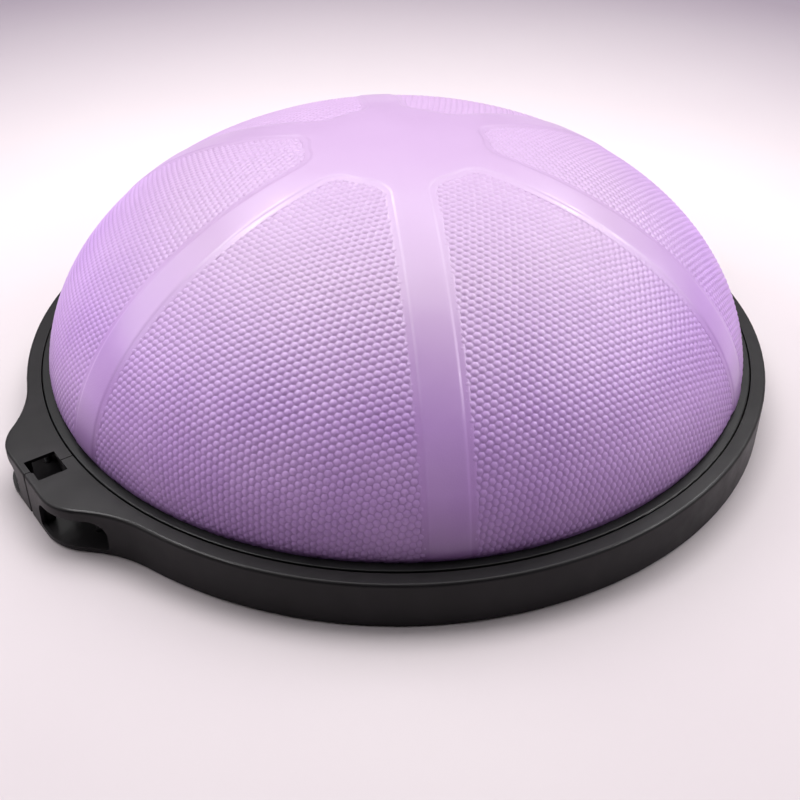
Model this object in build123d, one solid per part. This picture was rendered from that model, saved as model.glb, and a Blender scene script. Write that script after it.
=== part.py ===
from build123d import *
import math
import os

# Balance dome trainer: an inflated soft dome on a round plastic base with two carrying ears.
# Millimetres, +Z up. The origin is the middle of the footprint, at floor level.
# The ears lie on the X axis, and the seam between the two half rings is the plane y = 0.

# how far a piece reaches into the one it is fused with, and a cutter past the face that it opens
OVERLAP = 1.0
# larger than the whole object, for a block or cylinder that only trims
BEYOND = 400.0
# air between separate mouldings that lie beside each other
CLEARANCE = 0.3

# ---- heights above the floor ----
RING_BOTTOM = 1.6
FLANGE_TOP = 5.0
SHELF_BOTTOM = 5.2
PLATE_BOTTOM = 1.8
PLATE_THICK = 3.8
BASE_TOP = 19.0
FLOOR_BOTTOM = 19.2
FLOOR_THICK = 2.4
DOME_FLANGE_TOP = 22.2
RIM_TOP = 38.6
RING_TOP = 37.7

# ---- outer ring, made as two halves ----
RING_R = 300.0
RING_INNER_R = 288.6
WALL = 2.6
TOP_FILLET = 2.4
FLANGE_INNER_R = 262.0
SEAM_GAP = 0.8
SEAM_CHAMFER = 1.5
CHANNEL_RIBS = 19
CHANNEL_RIB_THICK = 2.0
CHANNEL_RIB_FIRST = 25.0

# ---- ears ----
EAR_REACH = 325.5
EAR_FLAT = 28.0
EAR_CORNER_R = 40.0
EAR_SWEEP_R = 110.0
SLOT_INNER = 297.5
SLOT_OUTER = 320.4
SLOT_HALF = 12.4
SLOT_LEDGE = 1.5
SLOT_LEDGE_DEEP = 1.2
POST_HALF = 20.0
POST_THICK = 5.0
POST_END = 18.5
WEB_THICK = 2.6
WEB_LOW = 18.0
GRIP_BOTTOM = 5.2
GRIP_TOP = 29.0
GRIP_FAR = 73.0
GRIP_REACH_IN = 293.0
GRIP_CORNER = 2.5
GRIP_END_FLAT = 0.8
EAR_PLATE_THICK = 3.0
EAR_PLATE_HALF = 84.0
EAR_SCREWS = [(317.4, 16.2), (293.7, 47.0)]
EAR_BOSS_R = 3.5

# ---- inner rim that clamps the dome ----
RIM_OUTER_R = 287.6
RIM_INNER_R = 279.7
RIM_FILLET = 0.9
RIM_GAP = 0.1

# ---- dome ----
DOME_A = 281.6
DOME_B = 178.9
DOME_CENTRE_Z = 28.7
SKIN = 3.4
TUCK_Z = 47.0
NECK_R = 279.4
NECK_INNER_R = 276.0
DOME_FLANGE_R = 287.4
LAP_INNER_R = 264.0
BLADDER_FLOOR_R = 275.0
LAP_GAP = 0.4
RIB_COUNT = 6
RIB_TURN = 1.2
RIB_HALF = 17.0
RIB_RAISE = 1.5
CROWN_R = 72.0
CROWN_CORNER_R = 26.0

# ---- base platform ----
BASE_R = 288.0
STEP_R = 261.4
STEP_WALL = 4.0
BASE_RIBS = 12
BASE_RIB_THICK = 2.5
BASE_HOOPS = [42.0, 150.0]
BASE_RIM_WALL = 3.0
GRIP_BARS = 24
GRIP_BAR_HIGH = 0.8
GRIP_BAR_ROWS = [(105.0, 150.0), (165.0, 210.0)]
GRIP_BAR_WIDE = 6.0

# ---- valve ----
VALVE_X = 0.0
VALVE_Y = -71.0
ACCESS_R = 18.0
ACCESS_WALL = 3.0
SEAT_TUBE_R = 8.8
SEAT_FLANGE_R = 17.0
SEAT_FLANGE_THICK = 2.2
SEAT_BOTTOM = 13.0
BORE_R = 4.6
STEM_R = 4.55
STEM_CORE_R = 4.0
STEM_TOP = 27.0
PLUG_HEAD_R = 8.5
PLUG_HEAD_THICK = 2.4
PLUG_HEAD_FILLET = 0.8
SEAT_GAP = 0.1
STEM_CHAMFER = 1.2
STEM_RIDGES = 3
STEM_RIDGE_FIRST = 2.0
STEM_RIDGE_STEP = 3.4
STEM_RIDGE_WIDE = 1.8
PULL_TAB_HIGH = 4.5
PULL_TAB_HALF = 6.0
PULL_TAB_THICK = 2.4
PULL_TAB_CORNER = 2.5

# ---- fasteners and feet ----
SCREW_R = 1.9
PILOT_R = 1.95
CLEAR_R = 2.3
HEAD_R = 3.9
HEAD_HIGH = 1.7
RECESS_R = 4.1
RECESS_DEEP = 1.9
CROSS_LONG = 4.4
CROSS_WIDE = 0.9
CROSS_DEEP = 0.9
RING_SCREWS = 12
RING_SCREW_R = 276.5
RING_SCREW_LONG = 13.0
CLAMP_SCREWS = 16
CLAMP_SCREW_R = 283.6
CLAMP_SCREW_SEAT = 9.2
CLAMP_SCREW_LONG = 24.0
EAR_SCREW_LONG = 14.0
BOSS_R = 5.0
PADS = 8
PAD_R = 11.5
PAD_CENTRE_R = 276.5
PAD_SINK = 1.4
PAD_GAP = 0.2
PAD_FILLET = 0.6


def polar(radius, degrees):
    """A point at a radius and an angle from +X."""
    a = math.radians(degrees)
    return (radius * math.cos(a), radius * math.sin(a))


def cylinder(radius, low, high, at=(0.0, 0.0)):
    """An upright cylinder between two heights."""
    return Pos(at[0], at[1], (low + high) / 2) * Cylinder(radius, high - low)


def block(low, high):
    """A box from its lowest corner to its highest corner."""
    size = [h - l for l, h in zip(low, high)]
    middle = [(l + h) / 2 for l, h in zip(low, high)]
    return Pos(*middle) * Box(*size)


def tube(outer, inner, low, high, at=(0.0, 0.0)):
    """An upright ring between two heights."""
    return cylinder(outer, low, high, at) - cylinder(inner, low - OVERLAP, high + OVERLAP, at)


def ear_curve(inset):
    """Centre of the ear's concave sweep and its two tangent points, for a wall inset."""
    corner = (EAR_REACH - EAR_CORNER_R, EAR_FLAT)
    corner_r = EAR_CORNER_R - inset
    sweep_r = EAR_SWEEP_R + inset
    far = math.hypot(*corner)
    reach = RING_R - inset + sweep_r
    along = (reach ** 2 - (corner_r + sweep_r) ** 2 + far ** 2) / (2 * far)
    across = math.sqrt(reach ** 2 - along ** 2)
    ux, uy = corner[0] / far, corner[1] / far
    centre = (along * ux - across * uy, along * uy + across * ux)
    to_ring = math.degrees(math.atan2(centre[1], centre[0]))
    to_corner = math.degrees(math.atan2(centre[1] - corner[1], centre[0] - corner[0]))
    return corner, corner_r, centre, sweep_r, to_ring, to_corner


def arc_point(centre, radius, degrees):
    """A point on a circle about a centre."""
    dx, dy = polar(radius, degrees)
    return (centre[0] + dx, centre[1] + dy)


def flip(point):
    """The same point on the other ear."""
    return (-point[0], point[1])


def half_outline(inset, inner_r, seam=SEAM_GAP / 2):
    """Plan face of a half ring on the +Y side: ring, two half ears, open inside inner_r."""
    corner, corner_r, centre, sweep_r, to_ring, to_corner = ear_curve(inset)
    ring_r = RING_R - inset
    reach = EAR_REACH - inset
    flat_end = (reach, EAR_FLAT)
    corner_mid = arc_point(corner, corner_r, to_corner / 2)
    corner_end = arc_point(corner, corner_r, to_corner)
    sweep_mid = arc_point(centre, sweep_r, 180 + (to_ring + to_corner) / 2)
    sweep_end = polar(ring_r, to_ring)
    inner_x = math.sqrt(inner_r ** 2 - seam ** 2)
    edges = [
        Line((inner_x, seam), (reach, seam)),
        Line((reach, seam), flat_end),
        ThreePointArc(flat_end, corner_mid, corner_end),
        ThreePointArc(corner_end, sweep_mid, sweep_end),
        ThreePointArc(sweep_end, (0, ring_r), flip(sweep_end)),
        ThreePointArc(flip(sweep_end), flip(sweep_mid), flip(corner_end)),
        ThreePointArc(flip(corner_end), flip(corner_mid), flip(flat_end)),
        Line(flip(flat_end), (-reach, seam)),
        Line((-reach, seam), (-inner_x, seam)),
        ThreePointArc((-inner_x, seam), (0, inner_r), (inner_x, seam)),
    ]
    return make_face(edges)


def half_prism(inset, inner_r, low, high, seam=SEAM_GAP / 2):
    """The half ring's plan raised between two heights."""
    plan = half_outline(inset, inner_r, seam)
    return Pos(0, 0, low) * extrude(plan, amount=high - low, dir=(0, 0, 1))


def screw(at, seat, long):
    """Pan-head screw driven upwards: its head hangs below the seat."""
    head = cylinder(HEAD_R, seat - HEAD_HIGH, seat, at)
    under = head.edges().group_by(Axis.Z)[0]
    head = fillet(under, HEAD_HIGH * 0.5)
    shank = cylinder(SCREW_R, seat, seat + long, at)
    tip = shank.edges().group_by(Axis.Z)[-1]
    shank = chamfer(tip, SCREW_R * 0.4)
    drive = Box(CROSS_LONG, CROSS_WIDE, 2 * CROSS_DEEP)
    drive += Box(CROSS_WIDE, CROSS_LONG, 2 * CROSS_DEEP)
    return head + shank - Pos(at[0], at[1], seat - HEAD_HIGH) * drive


def spots_round(count, radius):
    """Evenly spaced points on a circle, none of them on the X axis."""
    return [polar(radius, 360 / count * (k + 0.5)) for k in range(count)]


def ring_screw_spots():
    return spots_round(RING_SCREWS, RING_SCREW_R)


def clamp_screw_spots():
    return spots_round(CLAMP_SCREWS, CLAMP_SCREW_R)


def pad_spots():
    return spots_round(PADS, PAD_CENTRE_R)


def grip_window(side):
    """Cutter of one hand-hold on the +Y side of the ear on the given X side."""
    high = GRIP_TOP - GRIP_BOTTOM
    far_r = (high - GRIP_END_FLAT) / 2
    with BuildSketch(Plane.YZ) as window:
        with Locations(((POST_HALF + GRIP_FAR) / 2, (GRIP_TOP + GRIP_BOTTOM) / 2)):
            Rectangle(GRIP_FAR - POST_HALF, high)
        near = window.vertices().group_by(Axis.Y)[0]
        fillet(near, GRIP_CORNER)
        far = window.vertices().group_by(Axis.Y)[-1]
        fillet(far, far_r)
    cutter = Pos(GRIP_REACH_IN, 0, 0) * extrude(window.sketch, amount=BEYOND, dir=(1, 0, 0))
    return cutter if side > 0 else mirror(cutter, Plane.YZ)


def hollow_ring():
    """The half ring's top and walls, open below, with the flange that goes under the base."""
    body = half_prism(0, RING_INNER_R, RING_BOTTOM, RING_TOP)
    rim = body.edges().group_by(Axis.Z)[-1]
    outer = [e for e in rim if min(math.hypot(v.X, v.Y) for v in e.vertices()) > RING_R - OVERLAP]
    body = fillet(outer, TOP_FILLET)
    hollow_inner = RING_INNER_R + WALL
    hollow_seam = SEAM_GAP / 2 - OVERLAP
    body -= half_prism(WALL, hollow_inner, RING_BOTTOM - OVERLAP, RING_TOP - WALL, hollow_seam)
    flange = tube(RING_INNER_R + OVERLAP / 2, FLANGE_INNER_R, RING_BOTTOM, FLANGE_TOP)
    flange &= block((-BEYOND, SEAM_GAP / 2, 0), (BEYOND, BEYOND, BEYOND))
    body += flange
    spacing = (180 - 2 * CHANNEL_RIB_FIRST) / (CHANNEL_RIBS - 1)
    rib = block(
        (RING_INNER_R + OVERLAP, -CHANNEL_RIB_THICK / 2, RING_BOTTOM + OVERLAP),
        (RING_R - OVERLAP, CHANNEL_RIB_THICK / 2, RING_TOP - OVERLAP),
    )
    for k in range(CHANNEL_RIBS):
        body += Rot(0, 0, CHANNEL_RIB_FIRST + spacing * k) * rib
    return body


def ear_stiffeners():
    """End web, the thick post that a band or a hand pulls on, and the screw bosses of the +X ear."""
    near = SEAM_GAP / 2
    low = RING_BOTTOM + EAR_PLATE_THICK
    high = RING_TOP - OVERLAP
    far = EAR_REACH - OVERLAP
    web = block((RING_INNER_R + OVERLAP, near, low + CLEARANCE), (far, near + WEB_THICK, high))
    web -= block(
        (SLOT_INNER - OVERLAP, near - OVERLAP, WEB_LOW),
        (SLOT_OUTER + OVERLAP, POST_HALF, RING_TOP + OVERLAP),
    )
    post = block((EAR_REACH - POST_THICK, near, low + CLEARANCE), (far, POST_END, high))
    stiffeners = web + post
    for spot in EAR_SCREWS:
        stiffeners += cylinder(EAR_BOSS_R, low, high, spot)
    return stiffeners


def ear_cuts(ledge):
    """Half of the band slot with its shallow ledge, the chamfer at the seam, and the screw pilots."""
    near = SEAM_GAP / 2 - OVERLAP
    high = RING_TOP + OVERLAP
    cuts = block((SLOT_INNER, near, WEB_LOW + OVERLAP), (SLOT_OUTER - ledge, SLOT_HALF, high))
    cuts += block((SLOT_INNER, near, RING_TOP - SLOT_LEDGE_DEEP), (SLOT_OUTER, SLOT_HALF, high))
    inside = EAR_REACH - SEAM_CHAMFER
    outside = EAR_REACH + OVERLAP
    wedge = Polyline(
        (inside, near), (inside, SEAM_GAP / 2),
        (outside, SEAM_GAP / 2 + SEAM_CHAMFER + OVERLAP), (outside, near), close=True,
    )
    cuts += extrude(make_face(wedge), amount=high, dir=(0, 0, 1))
    low = RING_BOTTOM + EAR_PLATE_THICK
    for spot in EAR_SCREWS:
        cuts += cylinder(PILOT_R, low - OVERLAP, low + EAR_SCREW_LONG + OVERLAP, spot)
    return cuts


def make_half_ring():
    """Half of the outer ring, on the +Y side; its +X ear has a small step beside the band slot."""
    body = hollow_ring()
    stiffeners = ear_stiffeners()
    body += stiffeners + mirror(stiffeners, Plane.YZ)
    body -= ear_cuts(SLOT_LEDGE)
    body -= mirror(ear_cuts(0), Plane.YZ)
    body -= grip_window(1)
    body -= grip_window(-1)
    for spot in ring_screw_spots():
        if spot[1] > 0:
            body -= cylinder(CLEAR_R, 0, FLANGE_TOP + OVERLAP, spot)
            body -= cylinder(RECESS_R, 0, RING_BOTTOM + RECESS_DEEP, spot)
    for spot in pad_spots():
        if spot[1] > 0:
            body -= cylinder(PAD_R + PAD_GAP, 0, RING_BOTTOM + PAD_SINK, spot)
    return body


def make_ear_plate():
    """Tie plate under the ear on the +X side, set inside the ear's walls."""
    inset = WALL + CLEARANCE
    top = RING_BOTTOM + EAR_PLATE_THICK
    half = half_prism(inset, RING_INNER_R + inset, RING_BOTTOM, top, 0)
    half &= block((0, 0, 0), (BEYOND, EAR_PLATE_HALF, BEYOND))
    plate = half + mirror(half, Plane.XZ)
    for x, y in EAR_SCREWS:
        for side in (1, -1):
            plate -= cylinder(CLEAR_R, 0, top + OVERLAP, (x, side * y))
            plate -= cylinder(RECESS_R, 0, RING_BOTTOM + RECESS_DEEP, (x, side * y))
    return plate


def ellipse_arc(grow, low):
    """Quarter profile of the dome in the XZ plane, from a low height up to the pole,
    at a distance outside the panels."""
    start = math.degrees(math.asin((low - DOME_CENTRE_Z) / (DOME_B + grow)))
    plane = Plane(origin=(0, 0, DOME_CENTRE_Z), x_dir=(1, 0, 0), z_dir=(0, -1, 0))
    return Edge.make_ellipse(
        DOME_A + grow, DOME_B + grow, plane=plane, start_angle=start, end_angle=90,
        angular_direction=AngularDirection.COUNTER_CLOCKWISE,
    )


def xz(r, z):
    """A point of a turned profile."""
    return Vector(r, 0, z)


def make_dome_skin():
    """Open-bottomed dome with its clamped flange, raised ribs and crown."""
    outer = ellipse_arc(0, TUCK_Z)
    inner = ellipse_arc(-SKIN, TUCK_Z)
    low_out = outer @ 0
    low_in = inner @ 0
    down = Vector(DOME_A ** 2 / DOME_B ** 2 * (TUCK_Z - DOME_CENTRE_Z) / low_out.X, 0, -1)
    tuck = TangentArc(low_out, xz(NECK_R, RIM_TOP), tangent=down)
    corners = [
        xz(NECK_R, RIM_TOP),
        xz(NECK_R, DOME_FLANGE_TOP),
        xz(DOME_FLANGE_R, DOME_FLANGE_TOP),
        xz(DOME_FLANGE_R, FLOOR_BOTTOM),
        xz(BLADDER_FLOOR_R + LAP_GAP, FLOOR_BOTTOM),
        xz(BLADDER_FLOOR_R + LAP_GAP, FLOOR_BOTTOM + FLOOR_THICK),
        xz(LAP_INNER_R, FLOOR_BOTTOM + FLOOR_THICK),
        xz(LAP_INNER_R, FLOOR_BOTTOM + 2 * FLOOR_THICK),
        xz(NECK_INNER_R, FLOOR_BOTTOM + 2 * FLOOR_THICK),
        low_in,
    ]
    edges = [outer, tuck] + [Line(a, b) for a, b in zip(corners[:-1], corners[1:])] + [inner]
    edges.append(Line(xz(0, DOME_CENTRE_Z + DOME_B - SKIN), xz(0, DOME_CENTRE_Z + DOME_B)))
    skin = revolve(make_face(edges), Axis.Z, 360)
    for spot in clamp_screw_spots():
        skin -= cylinder(CLEAR_R, FLOOR_BOTTOM - OVERLAP, DOME_FLANGE_TOP + OVERLAP, spot)
    return skin + make_dome_ribs()


def dome_body(grow, low):
    """Solid of the dome's inside at an offset from the panel surface."""
    arc = ellipse_arc(grow, low)
    face = make_face([arc, Line(arc @ 1, xz(0, low)), Line(xz(0, low), arc @ 0)])
    return revolve(face, Axis.Z, 360)


def make_dome_ribs():
    """Raised cross bands and the crown where they meet."""
    bar = Rectangle(2 * BEYOND, 2 * RIB_HALF)
    star = Circle(CROWN_R)
    for k in range(RIB_COUNT // 2):
        star += Rot(0, 0, RIB_TURN + k * 360 / RIB_COUNT) * bar
    notches = star.vertices().filter_by(lambda v: math.hypot(v.X, v.Y) < CROWN_R + OVERLAP)
    star = fillet(notches, CROWN_CORNER_R)
    mask = extrude(star, amount=BEYOND, dir=(0, 0, 1))
    shell = dome_body(RIB_RAISE, TUCK_Z) - dome_body(-SKIN / 2, TUCK_Z - OVERLAP)
    return shell & mask


def make_clamp_ring():
    """Inner rim: a plain hoop with eased top edges and blind screw holes underneath."""
    ring = tube(RIM_OUTER_R, RIM_INNER_R, DOME_FLANGE_TOP + RIM_GAP, RIM_TOP)
    ring = fillet(ring.edges().group_by(Axis.Z)[-1], RIM_FILLET)
    for spot in clamp_screw_spots():
        ring -= cylinder(PILOT_R, 0, CLAMP_SCREW_SEAT + CLAMP_SCREW_LONG + OVERLAP, spot)
    return ring


def base_stiffeners():
    """Hoops, radial ribs and screw bosses that stand on the base's plate and shelf."""
    low = PLATE_BOTTOM + OVERLAP
    shelf_low = SHELF_BOTTOM + OVERLAP
    half = BASE_RIB_THICK / 2
    inner_rib = block((BASE_HOOPS[0] - OVERLAP, -half, low), (STEP_R - OVERLAP, half, BASE_TOP))
    outer_rib = block((STEP_R - 2 * OVERLAP, -half, shelf_low), (BASE_R - OVERLAP, half, BASE_TOP))
    rib = inner_rib + outer_rib
    frame = tube(BASE_HOOPS[0], BASE_HOOPS[0] - BASE_RIB_THICK, low, BASE_TOP)
    for hoop in BASE_HOOPS[1:]:
        frame += tube(hoop, hoop - BASE_RIB_THICK, low, BASE_TOP)
    for k in range(BASE_RIBS):
        frame += Rot(0, 0, k * 360 / BASE_RIBS) * rib
    for spot in ring_screw_spots():
        frame += cylinder(BOSS_R, shelf_low, BASE_TOP, spot)
    for spot in clamp_screw_spots():
        frame += cylinder(BOSS_R, shelf_low, BASE_TOP, spot) & cylinder(BASE_R, 0, BASE_TOP)
    return frame


def grip_bars():
    """Low round-ended bars under the plate, in two rows, that grip the floor when it is turned over."""
    bars = []
    for k in range(GRIP_BARS):
        turn = Rot(0, 0, (k + 0.5) * 360 / GRIP_BARS)
        for inner, outer in GRIP_BAR_ROWS:
            bar = block(
                (inner, -GRIP_BAR_WIDE / 2, PLATE_BOTTOM - GRIP_BAR_HIGH),
                (outer, GRIP_BAR_WIDE / 2, PLATE_BOTTOM + OVERLAP / 2),
            )
            bars.append(turn * fillet(bar.edges().filter_by(Axis.Z), GRIP_BAR_WIDE * 0.45))
    return bars


def make_base_platform():
    """Base disc: flat underside with grip bars, ribs on top, and a raised shelf for the half rings."""
    body = cylinder(STEP_R, PLATE_BOTTOM, PLATE_BOTTOM + PLATE_THICK)
    body += tube(STEP_R, STEP_R - STEP_WALL, PLATE_BOTTOM, BASE_TOP)
    body += tube(BASE_R, STEP_R - OVERLAP, SHELF_BOTTOM, SHELF_BOTTOM + PLATE_THICK)
    body += tube(BASE_R, BASE_R - BASE_RIM_WALL, SHELF_BOTTOM, BASE_TOP)
    body += base_stiffeners()
    valve = (VALVE_X, VALVE_Y)
    body += cylinder(ACCESS_R + ACCESS_WALL, PLATE_BOTTOM, BASE_TOP, valve)
    body -= cylinder(ACCESS_R, 0, BASE_TOP + OVERLAP, valve)
    for bar in grip_bars():
        body += bar
    for spot in ring_screw_spots():
        body -= cylinder(PILOT_R, 0, FLANGE_TOP + RING_SCREW_LONG, spot)
    for spot in clamp_screw_spots():
        body -= cylinder(CLEAR_R, 0, BASE_TOP + OVERLAP, spot)
        body -= cylinder(RECESS_R, 0, CLAMP_SCREW_SEAT, spot)
    return body


def make_bladder_floor():
    """Bottom membrane of the air chamber, with the hole that the valve seat fills."""
    disc = cylinder(BLADDER_FLOOR_R, FLOOR_BOTTOM, FLOOR_BOTTOM + FLOOR_THICK)
    return disc - cylinder(SEAT_TUBE_R + SEAT_GAP, 0, BEYOND, (VALVE_X, VALVE_Y))


def make_valve_seat():
    """Moulded seat: a flange inside the chamber and a tube that hangs through the membrane."""
    at = (VALVE_X, VALVE_Y)
    top = FLOOR_BOTTOM + FLOOR_THICK
    seat = cylinder(SEAT_TUBE_R, SEAT_BOTTOM, top + OVERLAP, at)
    seat += cylinder(SEAT_FLANGE_R, top, top + SEAT_FLANGE_THICK, at)
    return seat - cylinder(BORE_R, 0, BEYOND, at)


def make_valve_plug():
    """Push-in plug: ridged stem, round head and a pull tab."""
    head_top = SEAT_BOTTOM
    head_low = head_top - PLUG_HEAD_THICK
    plug = cylinder(PLUG_HEAD_R, head_low, head_top)
    plug = fillet(plug.edges().group_by(Axis.Z)[0], PLUG_HEAD_FILLET)
    plug += cylinder(STEM_CORE_R, head_top - OVERLAP, STEM_TOP)
    plug = chamfer(plug.edges().group_by(Axis.Z)[-1], STEM_CHAMFER)
    for k in range(STEM_RIDGES):
        low = head_top + STEM_RIDGE_FIRST + k * STEM_RIDGE_STEP
        plug += cylinder(STEM_R, low, low + STEM_RIDGE_WIDE)
    tab = block(
        (-PULL_TAB_HALF, -PULL_TAB_THICK / 2, head_low - PULL_TAB_HIGH),
        (PULL_TAB_HALF, PULL_TAB_THICK / 2, head_low + OVERLAP),
    )
    plug += fillet(tab.edges().filter_by(Axis.Y).group_by(Axis.Z)[0], PULL_TAB_CORNER)
    return Pos(VALVE_X, VALVE_Y, 0) * plug


def make_foot_pad(at):
    """Round rubber foot, glued into its pocket."""
    pad = cylinder(PAD_R, 0, RING_BOTTOM + PAD_SINK, at)
    return fillet(pad.edges().group_by(Axis.Z)[0], PAD_FILLET)


def main():
    ring_rear = make_half_ring()
    ear_plate = make_ear_plate()
    seat = RING_BOTTOM + RECESS_DEEP
    ring_screws = [screw(spot, seat, RING_SCREW_LONG) for spot in ring_screw_spots()]
    clamp_screws = [screw(spot, CLAMP_SCREW_SEAT, CLAMP_SCREW_LONG) for spot in clamp_screw_spots()]
    ear_spots = [(sx * x, sy * y) for x, y in EAR_SCREWS for sx in (1, -1) for sy in (1, -1)]
    ear_screws = [screw(spot, seat, EAR_SCREW_LONG) for spot in ear_spots]
    nodes = {
        "dome_skin": make_dome_skin(),
        "bladder_floor": make_bladder_floor(),
        "valve_seat": make_valve_seat(),
        "valve_plug": make_valve_plug(),
        "base_platform": make_base_platform(),
        "clamp_ring": make_clamp_ring(),
        "outer_ring_front": Rot(0, 0, 180) * ring_rear,
        "outer_ring_rear": ring_rear,
        "ear_plate_right": ear_plate,
        "ear_plate_left": mirror(ear_plate, Plane.YZ),
        "clamp_ring_screws": Compound(children=clamp_screws),
        "outer_ring_screws": Compound(children=ring_screws),
        "ear_plate_screws": Compound(children=ear_screws),
    }
    for number, spot in enumerate(pad_spots(), start=1):
        nodes[f"foot_pad_{number}"] = make_foot_pad(spot)
    os.makedirs("parts", exist_ok=True)
    for name, shape in nodes.items():
        export_step(shape, f"parts/{name}.step")


main()
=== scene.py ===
import math

import bmesh
import bpy
import numpy as np
from mathutils import Matrix, Vector


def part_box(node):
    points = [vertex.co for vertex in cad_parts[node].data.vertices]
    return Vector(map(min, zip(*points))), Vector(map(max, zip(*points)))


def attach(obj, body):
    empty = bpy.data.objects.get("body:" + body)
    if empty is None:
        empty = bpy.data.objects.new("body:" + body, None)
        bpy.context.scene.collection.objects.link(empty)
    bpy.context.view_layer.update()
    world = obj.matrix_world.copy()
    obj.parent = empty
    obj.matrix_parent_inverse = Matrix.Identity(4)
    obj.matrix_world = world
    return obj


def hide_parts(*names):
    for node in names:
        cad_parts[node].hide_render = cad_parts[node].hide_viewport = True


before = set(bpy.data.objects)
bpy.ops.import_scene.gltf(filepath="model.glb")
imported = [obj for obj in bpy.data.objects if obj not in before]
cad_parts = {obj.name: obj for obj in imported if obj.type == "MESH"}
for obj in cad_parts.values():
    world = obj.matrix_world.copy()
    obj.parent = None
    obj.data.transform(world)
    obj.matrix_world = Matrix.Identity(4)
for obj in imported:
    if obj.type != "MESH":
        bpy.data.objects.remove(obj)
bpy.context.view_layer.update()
scene = bpy.context.scene

# Looks of the balance dome trainer. Shapes are worked out in millimetres, +Z up, in the model's frame,
# and become metres when a mesh is made. Angles are about the Z axis, from +X.
MM = 0.001

# ---- dome surface: half an ellipsoid that tucks in under the clamp ring ----
RIB_RAISE = 1.5
DOME_A = 281.6
DOME_CENTRE_Z = 28.7
DOME_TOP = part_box("dome_skin")[1].z / MM - RIB_RAISE
DOME_B = DOME_TOP - DOME_CENTRE_Z
RIM_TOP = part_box("clamp_ring")[1].z / MM
TUCK_Z = RIM_TOP + 8.4
NECK_R = 279.4
SKIN = 3.4
FLANGE_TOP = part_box("clamp_ring")[0].z / MM - 0.1
FLANGE_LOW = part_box("dome_skin")[0].z / MM
FLANGE_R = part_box("dome_skin")[1].x / MM
LAP_LOW = FLANGE_LOW + 2.4
LAP_TOP = FLANGE_LOW + 4.8
LAP_INNER_R = 264.0
LAP_OUTER_R = 275.4
NECK_INNER_R = 276.0
HIDDEN_DROP = 3.0
PROFILE_STEPS = 1600
TUCK_STEPS = 60
NECK_STEPS = 20
RELIEF_LOW = -0.4
RELIEF_FADE = 5.0
RELIEF_LEAST = 0.08

# ---- smooth bands: six ribs and the crown where they meet ----
RIB_COUNT = 6
RIB_TURN = 1.2
SECTOR = 2 * math.pi / RIB_COUNT
FLAT_HALF = 13.2
CROWN_FLAT_R = 65.5
CORNER_R = 20.0
SHOULDER_START = 0.8
SHOULDER_END = 6.2
RECESS = 1.0
# distance out from the flat's edge, and height above the ellipsoid
BAND_PROFILE = [
    (-FLAT_HALF, 1.5), (-8.0, 1.5), (-3.5, 1.5), (-2.2, 1.49), (-1.5, 1.46), (-0.9, 1.4), (-0.4, 1.31),
    (0.1, 1.17), (0.6, 1.02), (1.0, 0.93), (1.5, 0.87), (3.2, 0.77), (4.2, 0.7), (4.8, 0.62), (5.3, 0.5),
    (5.7, 0.33), (6.0, 0.12), (SHOULDER_END, -0.1), (6.7, -0.55), (7.2, -RECESS),
]
RIB_STEPS = 110
CORNER_STEPS = 14
CROWN_STEPS = 9
CROWN_ROWS = 14
INNER_ROWS = 36

# ---- beads: a hexagonal lattice on a cone that unrolls each panel ----
BEAD_PITCH = 5.25
BEAD_HIGH = 0.8
BEAD_R = 2.62
BEAD_POWER = 3.0
BEAD_ROUND = 0.85
BEAD_SINK = 0.9
BEAD_SPREAD = 0.06
# rings of points on a bead: how many, and how far out as a share of its radius
BEAD_RINGS = ((6, 0.42), (12, 0.78))
SADDLE_SHARE = 0.06
PANEL_START = 0.6
SEED = 100
CONE_RATIO = 0.845
CONE_OFFSET = 12.6
BEAD_FIRST = 0.6
BEAD_LAST = 1.0
# turn of the rows from the tangent, one for each panel, counting up from the panel after the first rib
ROW_TURNS = [12.0, 31.0, 48.0, 22.5, 5.0, 40.0]

# ---- bottom membrane: rings round the valve seat that widen into its rim ----
MEMBRANE_SIDES = 120
SEAT_HOLE_R = 8.9
WELD_REACH = 9.0
WELD_STEP = 0.3
WELD_PITCH = 3.0
WELD_HIGH = 0.2
WELD_SAG = 0.5
WIDEN_START = 0.055
WIDEN_RINGS = 16


def make_profile():
    """The dome's outer line from the pole to the flange: arc length, radius, height and normal."""
    low = math.asin((TUCK_Z - DOME_CENTRE_Z) / DOME_B)
    angle = np.linspace(math.pi / 2, low, PROFILE_STEPS)
    radius = DOME_A * np.cos(angle)
    height = DOME_CENTRE_Z + DOME_B * np.sin(angle)
    slope = DOME_A ** 2 / DOME_B ** 2 * (TUCK_Z - DOME_CENTRE_Z) / radius[-1]
    half_drop = (TUCK_Z - RIM_TOP) / 2
    start = np.array([radius[-1], TUCK_Z])
    middle = start + half_drop * np.array([slope, -1.0])
    end = np.array([NECK_R, RIM_TOP])
    t = np.linspace(0, 1, TUCK_STEPS)[1:, None]
    tuck = (1 - t) ** 2 * start + 2 * t * (1 - t) * middle + t ** 2 * end
    drop = np.linspace(RIM_TOP, FLANGE_TOP, NECK_STEPS + 1)[1:]
    neck = np.column_stack([np.full(NECK_STEPS, NECK_R), drop])
    line = np.vstack([np.column_stack([radius, height]), tuck, neck])
    step = np.hypot(*np.diff(line, axis=0).T)
    along = np.concatenate([[0], np.cumsum(step)])
    tangent = np.gradient(line, along, axis=0)
    tangent /= np.linalg.norm(tangent, axis=1)[:, None]
    return along, line[:, 0], line[:, 1], -tangent[:, 1], tangent[:, 0]


ALONG, LINE_R, LINE_Z, NORMAL_R, NORMAL_Z = make_profile()
WIDEST = int(np.argmax(LINE_R))
S_END = float(np.interp(-(RIM_TOP - HIDDEN_DROP), -LINE_Z, ALONG))


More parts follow.
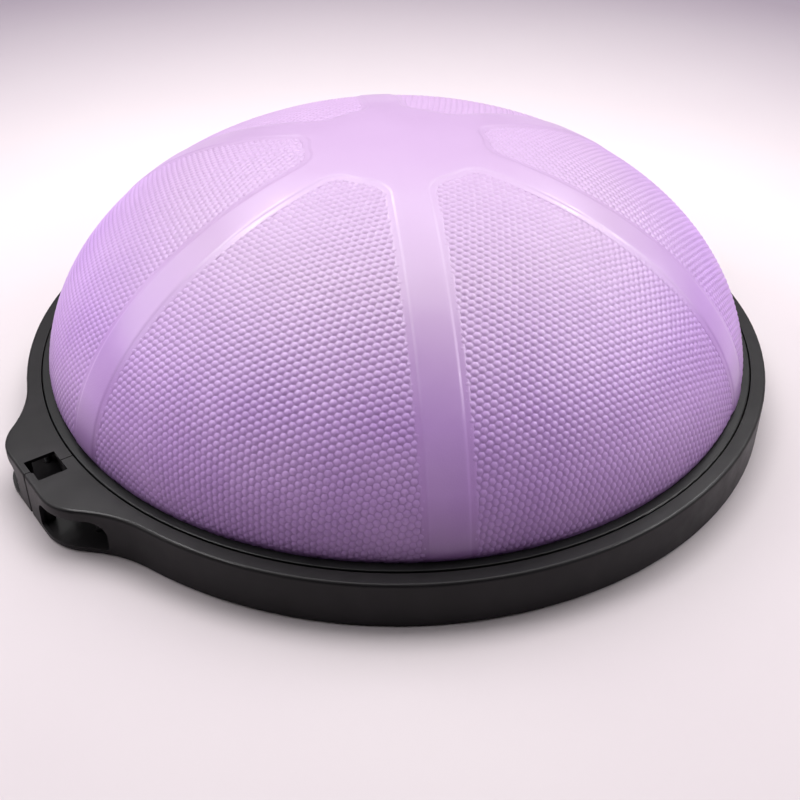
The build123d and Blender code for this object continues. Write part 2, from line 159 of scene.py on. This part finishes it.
def radius_at(s):
    """Plan radius at an arc length from the pole."""
    return np.interp(s, ALONG, LINE_R)


def length_at(radius):
    """Arc length from the pole at a plan radius, above the widest line."""
    return np.interp(radius, LINE_R[:WIDEST], ALONG[:WIDEST])


def relief(s):
    """How much of the moulded relief is left: all of it, fading where the skin tucks under the ring."""
    t = np.clip((np.interp(s, ALONG, LINE_Z) - RIM_TOP - RELIEF_LOW) / RELIEF_FADE, 0, 1)
    return RELIEF_LEAST + (1 - RELIEF_LEAST) * t * t * (3 - 2 * t)


def on_dome(s, angle, height):
    """Points at an arc length and an angle, raised along the surface's normal."""
    radius = radius_at(s) + height * np.interp(s, ALONG, NORMAL_R)
    z = np.interp(s, ALONG, LINE_Z) + height * np.interp(s, ALONG, NORMAL_Z)
    return np.column_stack([radius * np.cos(angle), radius * np.sin(angle), z])


def band_distance(s, angle):
    """Distance outside the smooth bands, for an angle from the panel's middle."""
    radius = radius_at(s)
    from_rib = radius * np.sin(SECTOR / 2 - np.abs(angle)) - FLAT_HALF
    from_crown = radius - CROWN_FLAT_R
    a = np.maximum(CORNER_R - from_rib, 0)
    b = np.maximum(CORNER_R - from_crown, 0)
    return np.maximum(CORNER_R, np.minimum(from_rib, from_crown)) - np.hypot(a, b)


def panel_line(level):
    """Line round a panel at a distance outside the bands: up one rib, round the crown and down the next.
    It gives arc lengths and angles from the panel's middle."""
    across = FLAT_HALF + level
    corner_y = FLAT_HALF + CORNER_R
    corner_x = math.sqrt((CROWN_FLAT_R + CORNER_R) ** 2 - corner_y ** 2)
    lean = math.atan2(corner_y, corner_x)
    s_rib = np.linspace(S_END, length_at(math.hypot(corner_x, across)), RIB_STEPS)
    angle_rib = np.arcsin(across / radius_at(s_rib))
    turn = np.linspace(-math.pi / 2, lean - math.pi, CORNER_STEPS)[1:]
    x = corner_x + (CORNER_R - level) * np.cos(turn)
    y = corner_y + (CORNER_R - level) * np.sin(turn)
    angle_crown = np.linspace(lean, SECTOR / 2, CROWN_STEPS)[1:]
    s_crown = np.full(CROWN_STEPS - 1, length_at(CROWN_FLAT_R + level))
    s = np.concatenate([s_rib, length_at(np.hypot(x, y)), s_crown])
    angle = np.concatenate([angle_rib, np.arctan2(y, x), angle_crown]) - SECTOR / 2
    return np.concatenate([s, s[-2::-1]]), np.concatenate([angle, -angle[-2::-1]])


def weld(points, faces):
    """Joins points that coincide, and drops faces that close up."""
    keys = np.round(points, 3) + 0.0
    _, first, where = np.unique(keys, axis=0, return_index=True, return_inverse=True)
    where = where.ravel()
    kept = []
    for face in faces:
        loop = [int(where[i]) for i in face]
        loop = [v for i, v in enumerate(loop) if v != loop[i - 1]]
        if len(loop) > 2:
            kept.append(loop)
    return points[first], kept


def grid_faces(rows, columns, start=0):
    """Quads of a grid of points stored row by row."""
    at = lambda i, j: start + i * columns + j
    return [
        (at(i, j), at(i, j + 1), at(i + 1, j + 1), at(i + 1, j))
        for i in range(rows - 1) for j in range(columns - 1)
    ]


def add_piece(name, points, faces, material, body="base"):
    """A smooth-shaded mesh piece from points in millimetres."""
    mesh = bpy.data.meshes.new(name)
    mesh.from_pydata((points * MM).tolist(), [], faces)
    mesh.validate()
    mesh.shade_smooth()
    mesh.materials.append(material)
    piece = bpy.data.objects.new(name, mesh)
    scene.collection.objects.link(piece)
    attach(piece, body)
    return piece


def face_outward(piece):
    """Turns a closed mesh's faces outward."""
    work = bmesh.new()
    work.from_mesh(piece.data)
    bmesh.ops.recalc_face_normals(work, faces=work.faces)
    work.to_mesh(piece.data)
    work.free()


def sector_grids(middle):
    """The grids of one sector of the dome's outside: its bands, its share of the crown and its panel."""
    grids = []
    lines = [panel_line(level) for level, _ in BAND_PROFILE]
    rows = [
        on_dome(s, angle + middle, high * relief(s))
        for (s, angle), (_, high) in zip(lines, BAND_PROFILE)
    ]
    grids.append(np.array(rows))
    first = RIB_STEPS - 1
    s, angle = lines[0]
    s, angle = s[first:len(s) - first], angle[first:len(angle) - first]
    shares = np.linspace(1, 0, CROWN_ROWS)
    high = BAND_PROFILE[0][1]
    grids.append(np.array([
        on_dome(length_at(radius_at(s) * share), angle + middle, high) for share in shares
    ]))
    s, angle = lines[-1]
    arc = RIB_STEPS + CORNER_STEPS - 2
    width = len(s) - 2 * arc
    floor = []
    for row in range(arc + 1):
        left = arc - row
        if row == 0:
            row_s, row_angle = s[arc:arc + width], angle[arc:arc + width]
        else:
            row_s = np.full(width, s[left])
            row_angle = np.linspace(angle[left], -angle[left], width)
        floor.append(on_dome(row_s, row_angle + middle, -RECESS * relief(row_s)))
    grids.append(np.array(floor))
    return grids


def mark_shoulders(shell):
    """Stores how far each point is into a band's shoulder, for the material, which paints shade on the
    shoulders.
    """
    flat = np.empty(3 * len(shell.data.vertices))
    shell.data.vertices.foreach_get("co", flat)
    x, y, z = flat.reshape(-1, 3).T / MM
    s = np.where(z > LINE_Z[WIDEST], length_at(np.hypot(x, y)), np.interp(-z, -LINE_Z, ALONG))
    turned = np.arctan2(y, x) - math.radians(RIB_TURN)
    angle = np.mod(turned, SECTOR) - SECTOR / 2
    share = np.clip(band_distance(s, angle) / SHOULDER_START, 0, 1)
    attribute = shell.data.attributes.new("shoulder", "FLOAT", "POINT")
    attribute.data.foreach_set("value", share.astype(np.float32))


def make_dome_shell(material):
    """The dome's skin as one closed shell: bands, crown, sunk panels, neck, flange and inside."""
    points, faces = np.zeros((0, 3)), []
    for k in range(RIB_COUNT):
        middle = math.radians(RIB_TURN) + SECTOR * (k + 0.5)
        for grid in sector_grids(middle):
            faces += grid_faces(grid.shape[0], grid.shape[1], len(points))
            points = np.vstack([points, grid.reshape(-1, 3)])
    points, faces = weld(points, faces)
    used = {}
    for face in faces:
        for a, b in zip(face, face[1:] + face[:1]):
            edge = (min(a, b), max(a, b))
            used[edge] = used.get(edge, 0) + 1
    rim = sorted({v for edge, n in used.items() if n == 1 for v in edge},
                 key=lambda v: math.atan2(points[v][1], points[v][0]))
    angle = np.arctan2(points[rim, 1], points[rim, 0])
    inner_low = math.asin((TUCK_Z - DOME_CENTRE_Z) / (DOME_B - SKIN))
    inside = np.linspace(inner_low, math.pi / 2, INNER_ROWS)
    hidden = [
        (NECK_R, FLANGE_TOP), (FLANGE_R, FLANGE_TOP), (FLANGE_R, FLANGE_LOW), (LAP_OUTER_R, FLANGE_LOW),
        (LAP_OUTER_R, LAP_LOW), (LAP_INNER_R, LAP_LOW), (LAP_INNER_R, LAP_TOP), (NECK_INNER_R, LAP_TOP),
    ]
    hidden += [
        ((DOME_A - SKIN) * math.cos(a), DOME_CENTRE_Z + (DOME_B - SKIN) * math.sin(a)) for a in inside
    ]
    last = rim
    for radius, z in hidden:
        start = len(points)
        ring = np.column_stack([radius * np.cos(angle), radius * np.sin(angle), np.full(len(angle), z)])
        points = np.vstack([points, ring])
        here = list(range(start, start + len(rim)))
        faces += [(last[i - 1], last[i], here[i], here[i - 1]) for i in range(len(rim))]
        last = here
    points, faces = weld(points, faces)
    shell = add_piece("dome_shell", points, faces, material)
    face_outward(shell)
    mark_shoulders(shell)
    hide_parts("dome_skin")
    return shell


def bead_template(turn):
    """One cell of the lattice in the unrolled panel: points, share of the bead's height, and faces."""
    spots, shares = [(0.0, 0.0)], [1.0]
    for count, share in BEAD_RINGS:
        for k in range(count):
            a = turn + 2 * math.pi * k / count
            spots.append((share * BEAD_R * math.cos(a), share * BEAD_R * math.sin(a)))
            shares.append((1 - share ** BEAD_POWER) ** BEAD_ROUND)
    for k in range(12):
        reach = BEAD_PITCH / 2 if k % 2 == 0 else BEAD_PITCH / math.sqrt(3)
        a = turn + math.pi * k / 6
        spots.append((reach * math.cos(a), reach * math.sin(a)))
        shares.append(SADDLE_SHARE if k % 2 == 0 else 0.0)
    inner, outer, edge = 1, 7, 19
    faces = []
    for k in range(6):
        n = (k + 1) % 6
        faces.append((0, inner + k, inner + n))
        faces.append((inner + k, outer + 2 * k, outer + 2 * k + 1))
        faces.append((inner + k, outer + 2 * k + 1, inner + n))
        faces.append((inner + n, outer + 2 * k + 1, outer + (2 * k + 2) % 12))
    for k in range(12):
        n = (k + 1) % 12
        faces.append((outer + k, edge + k, edge + n, outer + n))
    return np.array(spots), np.array(shares), faces, edge


def unrolled(point):
    """Arc length and angle from the panel's middle, of points on the unrolled cone."""
    rho = np.hypot(point[..., 0], point[..., 1])
    return rho - CONE_OFFSET, np.arctan2(point[..., 0], point[..., 1]) / CONE_RATIO


def make_bead_panel(number, middle, turn, material):
    """One panel of moulded beads, a thin closed sheet that runs under the bands' shoulders."""
    spots, shares, cell_faces, edge = bead_template(turn)
    reach = int(S_END / BEAD_PITCH) + 4
    i, j = np.mgrid[-reach:reach + 1, -reach:reach + 1].reshape(2, -1, 1)
    first = np.array([math.cos(turn), math.sin(turn)]) * BEAD_PITCH
    second = np.array([math.cos(turn + SECTOR), math.sin(turn + SECTOR)]) * BEAD_PITCH
    centres = np.array([0.0, CONE_OFFSET + S_END * PANEL_START]) + i * first + j * second
    s, angle = unrolled(centres)
    keep = (np.abs(angle) < SECTOR / 2) & (s < S_END - BEAD_LAST) & (s > 0)
    keep &= band_distance(s, np.clip(angle, -SECTOR / 2, SECTOR / 2)) > BEAD_FIRST
    centres = centres[keep]
    count = len(centres)
    draw = np.random.default_rng(SEED + number)
    size = 1 + BEAD_SPREAD * draw.uniform(-1, 1, (count, 1))
    flat = centres[:, None, :] + spots[None, :, :]
    high = np.broadcast_to(shares, (count, len(shares))) * BEAD_HIGH
    high = np.concatenate([high[:, :edge] * size, high[:, edge:]], axis=1)
    groove = np.broadcast_to(1 - shares, (count, len(shares)))
    own = count * edge
    _, pick, where = np.unique(
        np.round(flat[:, edge:].reshape(-1, 2), 2) + 0.0, axis=0, return_index=True, return_inverse=True,
    )
    where = where.ravel()
    index = np.concatenate([
        np.arange(own).reshape(count, edge), own + where.reshape(count, 12)], axis=1)
    plan = np.vstack([flat[:, :edge].reshape(-1, 2), flat[:, edge:].reshape(-1, 2)[pick]])
    height = np.concatenate([high[:, :edge].ravel(), high[:, edge:].ravel()[pick]])
    depth = np.concatenate([groove[:, :edge].ravel(), groove[:, edge:].ravel()[pick]])
    s, angle = unrolled(plan)
    top = on_dome(s, angle + middle, height * relief(s))
    s_edge, angle_edge = s[own:], angle[own:]
    bottom = on_dome(s_edge, angle_edge + middle, -BEAD_SINK * relief(s_edge))
    faces = [tuple(row) for face in cell_faces for row in index[:, list(face)].tolist()]
    under = len(top) - own
    rings = index[:, edge:]
    faces += [tuple(row[::-1]) for row in (rings + under).tolist()]
    pairs = np.stack([rings, np.roll(rings, -1, axis=1)], axis=2).reshape(-1, 2)
    _, found, times = np.unique(np.sort(pairs, axis=1), axis=0, return_index=True, return_counts=True)
    outline = pairs[found[times == 1]]
    faces += [(a + under, b + under, b, a) for a, b in outline.tolist()]
    points = np.vstack([top, bottom])
    panel = add_piece(f"bead_panel_{number}", points, faces, material)
    face_outward(panel)
    depth = np.concatenate([depth, np.ones(len(bottom))])
    # the groove share drives the painted shade in the beads' grooves
    attribute = panel.data.attributes.new("groove", "FLOAT", "POINT")
    attribute.data.foreach_set("value", depth.astype(np.float32))
    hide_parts("dome_skin")
    return panel


def make_membrane(material):
    """The chamber's bottom: a closed sheet round the valve seat, with weld rings where a finger reaches."""
    low, high = (corner.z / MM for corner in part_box("bladder_floor"))
    rim_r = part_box("bladder_floor")[1].x / MM
    seat = sum(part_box("valve_seat"), Vector()) / 2 / MM
    angle = np.linspace(0, 2 * math.pi, MEMBRANE_SIDES, endpoint=False)
    near = np.arange(0, WELD_REACH, WELD_STEP)
    shares = np.concatenate([near / (rim_r - SEAT_HOLE_R), np.geomspace(WIDEN_START, 1.0, WIDEN_RINGS)])
    grow = shares * (rim_r - SEAT_HOLE_R)
    ripple = np.where(grow < WELD_REACH, WELD_HIGH * np.sin(grow * 2 * math.pi / WELD_PITCH), 0)
    sag = WELD_SAG * np.exp(-(grow / WELD_REACH) ** 2) * (grow > 0)
    rings = []
    for share, drop in zip(shares, ripple - sag):
        radius = SEAT_HOLE_R + share * (rim_r - SEAT_HOLE_R)
        x = (1 - share) * seat.x + radius * np.cos(angle)
        y = (1 - share) * seat.y + radius * np.sin(angle)
        rings.append(np.column_stack([x, y, np.full(MEMBRANE_SIDES, low + drop)]))
    rings += [ring * (1, 1, 0) + (0, 0, high) for ring in (rings[-1], rings[0])]
    faces = []
    count = len(rings)
    for i in range(count):
        here, there = i * MEMBRANE_SIDES, (i + 1) % count * MEMBRANE_SIDES
        for k in range(MEMBRANE_SIDES):
            n = (k + 1) % MEMBRANE_SIDES
            faces.append((here + k, here + n, there + n, there + k))
    membrane = add_piece("bladder_membrane", np.vstack(rings), faces, material)
    face_outward(membrane)
    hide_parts("bladder_floor")


# ---- materials ----
def linear(*rgb):
    """A colour given as 0-255 screen values, as Blender's linear RGBA."""
    share = [c / 255 for c in rgb]
    return tuple(c / 12.92 if c <= 0.04045 else ((c + 0.055) / 1.055) ** 2.4 for c in share) + (1.0,)


def new_material(name, roughness, **sockets):
    """A Principled material, with its uniform numbers set on the shader's own sockets."""
    material = bpy.data.materials.new(name)
    material.use_nodes = True
    nodes = material.node_tree.nodes
    shader = nodes["Principled BSDF"]
    shader.inputs["Roughness"].default_value = roughness
    for socket, value in sockets.items():
        shader.inputs[socket.replace("_", " ")].default_value = value
    return material, nodes, material.node_tree.links, shader


def noise(nodes, links, scale, detail=3.0):
    """Noise in the model's own space; scale is in features per metre."""
    place = nodes.new("ShaderNodeTexCoord")
    texture = nodes.new("ShaderNodeTexNoise")
    texture.inputs["Scale"].default_value = scale
    texture.inputs["Detail"].default_value = detail
    links.new(place.outputs["Object"], texture.inputs["Vector"])
    return texture.outputs["Fac"]


def map_range(nodes, links, value, from_low, from_high, to_low, to_high):
    """A value moved from one range to another, and held within it."""
    node = nodes.new("ShaderNodeMapRange")
    numbers = {"From Min": from_low, "From Max": from_high, "To Min": to_low, "To Max": to_high}
    for socket, number in numbers.items():
        node.inputs[socket].default_value = number
    links.new(value, node.inputs["Value"])
    return node.outputs["Result"]


def mix(nodes, links, share, a, b, blend="MIX"):
    """Two colours mixed; each is an RGBA value or a socket."""
    node = nodes.new("ShaderNodeMix")
    node.data_type = "RGBA"
    node.blend_type = blend
    sockets = {"share": node.inputs[0], "a": node.inputs[6], "b": node.inputs[7]}
    for key, value in (("share", share), ("a", a), ("b", b)):
        if isinstance(value, bpy.types.NodeSocket):
            links.new(value, sockets[key])
        else:
            sockets[key].default_value = value
    return node.outputs[2]


def bump(nodes, links, height, distance, strength, under=None):
    """A bump from a height; distance is in metres."""
    node = nodes.new("ShaderNodeBump")
    node.inputs["Distance"].default_value = distance
    if isinstance(strength, bpy.types.NodeSocket):
        links.new(strength, node.inputs["Strength"])
    else:
        node.inputs["Strength"].default_value = strength
    links.new(height, node.inputs["Height"])
    if under is not None:
        links.new(under, node.inputs["Normal"])
    return node.outputs["Normal"]


DOME_LIGHT = linear(211, 170, 233)
DOME_DEEP = linear(201, 158, 226)
# painted shade: darker lilac laid into the beads' grooves, where shade falls between them
DOME_GROOVE_SHADE = linear(158, 113, 184)
# painted shade: darker lilac on the bands' shoulders, which face away from the light
DOME_SHOULDER_SHADE = linear(198, 153, 222)
# painted sheen: a greyer, paler lilac on the crown for the veil of reflected light there
DOME_CROWN_SHEEN = linear(194, 163, 203)
# painted shade: dark purple towards the foot, where the ring blocks the light
DOME_FOOT_SHADE = linear(98, 56, 118)
BEADED_ROUGHNESS = 0.42
SMOOTH_ROUGHNESS = 0.38
SMOOTH_COAT = 0.12
# full share of the painted shade in the beads' grooves
GROOVE_SHADE_SHARE = 0.28
# full share of the painted shade on the bands' shoulders
SHOULDER_SHADE_SHARE = 0.55
# heights in metres between which a tone comes in, and its full share: the crown's painted sheen, the
# painted shade towards the foot, and the grain
CROWN_SHEEN_RISE = (0.12, 0.175)
CROWN_SHEEN_SHARE = 0.92
FOOT_SHADE_FALL = (0.085, 0.036)
FOOT_SHADE_BEADED = 0.5
FOOT_SHADE_SMOOTH = 0.75
GRAIN_FALL = (0.135, 0.09)
SWELL_BEADED = 0.06
SWELL_SMOOTH = 0.01


def make_dome_material(name, beaded):
    """Soft lilac PVC: satin, faintly mottled, with a fine moulded grain; painted shade in the beads'
    grooves, on the bands' shoulders and towards the foot, and a painted sheen on the crown.
    """
    roughness = BEADED_ROUGHNESS if beaded else SMOOTH_ROUGHNESS
    material, nodes, links, shader = new_material(
        name, roughness, Specular_IOR_Level=0.5,
        Coat_Weight=0.0 if beaded else SMOOTH_COAT, Coat_Roughness=0.07,
    )
    cloud = map_range(nodes, links, noise(nodes, links, 14.0), 0.35, 0.65, 0.0, 1.0)
    colour = mix(nodes, links, cloud, DOME_DEEP, DOME_LIGHT)
    if beaded:
        groove = nodes.new("ShaderNodeAttribute")
        groove.attribute_name = "groove"
        # painted shade: the beads' grooves are darkened towards the groove colour
        groove_shade = map_range(nodes, links, groove.outputs["Fac"], 0.6, 1.0, 0.0, GROOVE_SHADE_SHARE)
        colour = mix(nodes, links, groove_shade, colour, DOME_GROOVE_SHADE)
    else:
        band = nodes.new("ShaderNodeAttribute")
        band.attribute_name = "shoulder"
        # painted shade: the bands' shoulders are darkened by how far each point is into them
        edge = map_range(nodes, links, band.outputs["Fac"], 0.0, 1.0, 0.0, SHOULDER_SHADE_SHARE)
        colour = mix(nodes, links, edge, colour, DOME_SHOULDER_SHADE)
    rough = map_range(nodes, links, noise(nodes, links, 45.0), 0.3, 0.7, roughness - 0.04, roughness + 0.05)
    links.new(rough, shader.inputs["Roughness"])
    place = nodes.new("ShaderNodeTexCoord")
    split = nodes.new("ShaderNodeSeparateXYZ")
    links.new(place.outputs["Object"], split.inputs["Vector"])
    # painted sheen: the crown takes on the greyer tone with height
    crown = map_range(nodes, links, split.outputs["Z"], *CROWN_SHEEN_RISE, 0.0, CROWN_SHEEN_SHARE)
    colour = mix(nodes, links, crown, colour, DOME_CROWN_SHEEN)
    # painted shade: the skin darkens towards the foot as it nears the ring
    foot_shade_share = FOOT_SHADE_BEADED if beaded else FOOT_SHADE_SMOOTH
    foot = map_range(nodes, links, split.outputs["Z"], *FOOT_SHADE_FALL, 0.0, foot_shade_share)
    links.new(mix(nodes, links, foot, colour, DOME_FOOT_SHADE), shader.inputs["Base Color"])
    lower = map_range(nodes, links, split.outputs["Z"], *GRAIN_FALL, 0.1, 0.55)
    grain = bump(nodes, links, noise(nodes, links, 900.0, 2.0), 0.0002, lower)
    swell_strength = SWELL_BEADED if beaded else SWELL_SMOOTH
    swell = bump(nodes, links, noise(nodes, links, 22.0, 1.0), 0.002, swell_strength, grain)
    links.new(swell, shader.inputs["Normal"])
    return material


def make_plastic(name, dark, light, roughness, grain=0.35):
    """Moulded black plastic: spark-eroded grain, faint mottling, and edges painted paler, partly as rubbed
    wear and partly as a painted highlight.
    """
    material, nodes, links, shader = new_material(
        name, roughness, Specular_IOR_Level=0.17, Coat_Weight=0.09, Coat_Roughness=0.14,
    )
    cloud = map_range(nodes, links, noise(nodes, links, 30.0, 4.0), 0.35, 0.65, 0.0, 1.0)
    colour = mix(nodes, links, cloud, dark, light)
    shape = nodes.new("ShaderNodeNewGeometry")
    # paler edges from pointiness: partly rubbed wear, partly a painted highlight on the fillets
    edge = map_range(nodes, links, shape.outputs["Pointiness"], 0.53, 0.62, 0.0, 0.5)
    worn_and_highlight = tuple(min(1.0, c * 2.2 + 0.01) for c in light[:3]) + (1.0,)
    links.new(mix(nodes, links, edge, colour, worn_and_highlight), shader.inputs["Base Color"])
    rough = map_range(nodes, links, noise(nodes, links, 60.0), 0.3, 0.7, roughness - 0.05, roughness + 0.06)
    links.new(rough, shader.inputs["Roughness"])
    fine = bump(nodes, links, noise(nodes, links, 1500.0, 2.0), 0.0001, grain)
    links.new(fine, shader.inputs["Normal"])
    return material


def make_rubber(name, dark, light):
    """Dull rubber with a coarse skin and dusty patches."""
    material, nodes, links, shader = new_material(name, 0.75, Specular_IOR_Level=0.35)
    dust = map_range(nodes, links, noise(nodes, links, 90.0, 5.0), 0.45, 0.7, 0.0, 1.0)
    links.new(mix(nodes, links, dust, dark, light), shader.inputs["Base Color"])
    rough = map_range(nodes, links, noise(nodes, links, 200.0), 0.3, 0.7, 0.66, 0.85)
    links.new(rough, shader.inputs["Roughness"])
    skin = bump(nodes, links, noise(nodes, links, 2200.0, 3.0), 0.0001, 0.5)
    links.new(skin, shader.inputs["Normal"])
    return material


def make_zinc(name):
    """Bright zinc plate with fine streaks."""
    material, nodes, links, shader = new_material(name, 0.32, Metallic=1.0)
    streak = map_range(nodes, links, noise(nodes, links, 700.0, 4.0), 0.3, 0.7, 0.0, 1.0)
    plate = mix(nodes, links, streak, linear(150, 152, 156), linear(196, 198, 200))
    links.new(plate, shader.inputs["Base Color"])
    rough = map_range(nodes, links, noise(nodes, links, 350.0), 0.3, 0.7, 0.25, 0.42)
    links.new(rough, shader.inputs["Roughness"])
    return material


def make_floor_material():
    """Pale, faintly uneven studio floor, painted darker with distance as shade, which then glows with
    painted light like the backdrop where the softboxes don't reach.
    """
    material, nodes, links, shader = new_material("studio_floor", 0.9, Specular_IOR_Level=0.1)
    cloud = map_range(nodes, links, noise(nodes, links, 3.0), 0.3, 0.7, 0.0, 1.0)
    near = mix(nodes, links, cloud, linear(221, 212, 216), linear(224, 216, 219))
    place = nodes.new("ShaderNodeTexCoord")
    reach = nodes.new("ShaderNodeVectorMath")
    reach.operation = "LENGTH"
    links.new(place.outputs["Object"], reach.inputs[0])
    # painted shade: the floor darkens with distance from the object
    far_shade = map_range(nodes, links, reach.outputs["Value"], *FLOOR_SHADE_FADE, 0.0, 1.0)
    links.new(mix(nodes, links, far_shade, near, linear(148, 137, 150)), shader.inputs["Base Color"])
    # painted light: the far floor glows like the backdrop
    shader.inputs["Emission Color"].default_value = BACKDROP
    glow = map_range(nodes, links, reach.outputs["Value"], *FLOOR_GLOW, 0.0, 1.0)
    links.new(glow, shader.inputs["Emission Strength"])
    return material


def give_materials():
    """Every CAD node that shows gets its finish."""
    ring = make_plastic("ring_plastic", linear(15, 13, 15), linear(20, 17, 20), 0.5)
    rim = make_plastic("rim_plastic", linear(18, 18, 19), linear(23, 23, 24), 0.42, 0.25)
    base = make_plastic("base_plastic", linear(30, 30, 31), linear(38, 37, 39), 0.55, 0.5)
    pad = make_rubber("foot_rubber", linear(33, 33, 34), linear(58, 57, 57))
    plug = make_rubber("plug_rubber", linear(196, 192, 188), linear(214, 210, 206))
    film = make_dome_material("film_pvc", False)
    zinc = make_zinc("zinc_plate")
    finishes = {
        "outer_ring": ring, "ear_plate_left": ring, "ear_plate_right": ring, "clamp_ring": rim,
        "base_platform": base, "foot_pad": pad, "valve_plug": plug, "valve_seat": film,
        "bladder_floor": film, "clamp_ring_screws": zinc, "outer_ring_screws": zinc,
        "ear_plate_screws": zinc,
    }
    for name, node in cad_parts.items():
        if name == "dome_skin":
            continue
        match = max((key for key in finishes if name.startswith(key)), key=len)
        node.data.materials.clear()
        node.data.materials.append(finishes[match])


# ---- studio ----
BACKDROP = linear(240, 234, 240)
LIGHT_COLOUR = (1.0, 0.98, 0.99)
CAMERA_AT = (-0.4949, -0.6812, 0.5853)
CAMERA_DOWN = 36.12
CAMERA_TURN = -36.08
CAMERA_ROLL = 0.21
CAMERA_LENS = 54.0
CAMERA_SHIFT = (0.0031, -0.0093)
FLOOR_REACH = 9.0
# distances in metres between which the floor is painted darker as shade, and then takes on the backdrop's
# painted glow
FLOOR_SHADE_FADE = (0.5, 1.15)
FLOOR_GLOW = (1.1, 2.6)
# name, azimuth from the camera's side, elevation, distance, size, power, and whether only gloss shows it
SOFTBOXES = [
    ("overhead_back", 180, 72, 1.7, (1.9, 1.3), 25.5, False),
    ("overhead", 180, 80, 1.5, (1.5, 0.8), 5, False),
    ("back_wall", 180, 30, 2.2, (3.0, 1.0), 4, False),
    ("back_panel", 180, 52, 2.0, (2.4, 0.8), 9, False),
    ("left_wall", 97, 32, 2.0, (2.0, 1.0), 22, False),
    ("right_wall", -97, 32, 2.0, (2.0, 1.0), 20, False),
    ("left_strip", 100, 60, 1.5, (1.8, 0.12), 20, True),
    ("right_strip", -105, 47, 1.5, (1.8, 0.12), 20, True),
]
CAMERA_SIDE = -126
AIM_HEIGHT = 0.1
WORLD_LIGHT = 0.02


def make_floor():
    """The floor, one large square at the height that the feet stand on."""
    size = FLOOR_REACH
    corners = [(-size, -size, 0), (size, -size, 0), (size, size, 0), (-size, size, 0)]
    mesh = bpy.data.meshes.new("studio_floor")
    mesh.from_pydata(corners, [], [(0, 1, 2, 3)])
    mesh.materials.append(make_floor_material())
    floor = bpy.data.objects.new("studio_floor", mesh)
    scene.collection.objects.link(floor)


def make_camera():
    """A camera that looks down at the trainer from the front, on the left ear's side."""
    data = bpy.data.cameras.new("camera")
    data.lens = CAMERA_LENS
    data.shift_x, data.shift_y = CAMERA_SHIFT
    camera = bpy.data.objects.new("camera", data)
    turn = Matrix.Rotation(math.radians(CAMERA_TURN), 4, "Z")
    tilt = Matrix.Rotation(math.radians(90 - CAMERA_DOWN), 4, "X")
    roll = Matrix.Rotation(math.radians(CAMERA_ROLL), 4, "Z")
    camera.matrix_world = Matrix.Translation(CAMERA_AT) @ turn @ tilt @ roll
    scene.collection.objects.link(camera)
    scene.camera = camera


def add_softbox(name, azimuth, elevation, distance, size, power, gloss_only):
    """A rectangular softbox that looks at the object. Azimuth is from the camera's side, clockwise seen
    from above. A gloss_only one shows in reflections and lights nothing else."""
    data = bpy.data.lights.new(name, "AREA")
    data.shape = "RECTANGLE"
    data.size, data.size_y = size
    data.energy = power
    data.color = LIGHT_COLOUR
    light = bpy.data.objects.new(name, data)
    around = math.radians(CAMERA_SIDE - azimuth)
    up = math.radians(elevation)
    towards = Vector((math.cos(around) * math.cos(up), math.sin(around) * math.cos(up), math.sin(up)))
    aim = Vector((0, 0, AIM_HEIGHT))
    light.location = aim + towards * distance
    light.rotation_mode = "QUATERNION"
    light.rotation_quaternion = (-towards).to_track_quat("-Z", "Y")
    light.visible_camera = False
    light.visible_diffuse = not gloss_only
    scene.collection.objects.link(light)


def make_lights():
    """A white tent: bright overhead, pale walls at the back and sides, and an open front."""
    for softbox in SOFTBOXES:
        add_softbox(*softbox)
    world = bpy.data.worlds.new("studio")
    world.use_nodes = True
    nodes, links = world.node_tree.nodes, world.node_tree.links
    shade = nodes["Background"]
    shade.inputs["Color"].default_value = BACKDROP
    shade.inputs["Strength"].default_value = WORLD_LIGHT
    seen = nodes.new("ShaderNodeBackground")
    seen.inputs["Color"].default_value = BACKDROP
    seen.inputs["Strength"].default_value = 1.0
    path = nodes.new("ShaderNodeLightPath")
    choose = nodes.new("ShaderNodeMixShader")
    links.new(path.outputs["Is Camera Ray"], choose.inputs[0])
    links.new(shade.outputs[0], choose.inputs[1])
    links.new(seen.outputs[0], choose.inputs[2])
    links.new(choose.outputs[0], nodes["World Output"].inputs["Surface"])
    scene.world = world
    scene.view_settings.view_transform = "Standard"


make_dome_shell(make_dome_material("dome_smooth_pvc", False))
bead_material = make_dome_material("dome_beaded_pvc", True)
for k, row_turn in enumerate(ROW_TURNS):
    panel_middle = math.radians(RIB_TURN) + SECTOR * (k + 0.5)
    make_bead_panel(k + 1, panel_middle, math.radians(row_turn), bead_material)
give_materials()
make_membrane(make_dome_material("membrane_pvc", False))
make_floor()
make_camera()
make_lights()
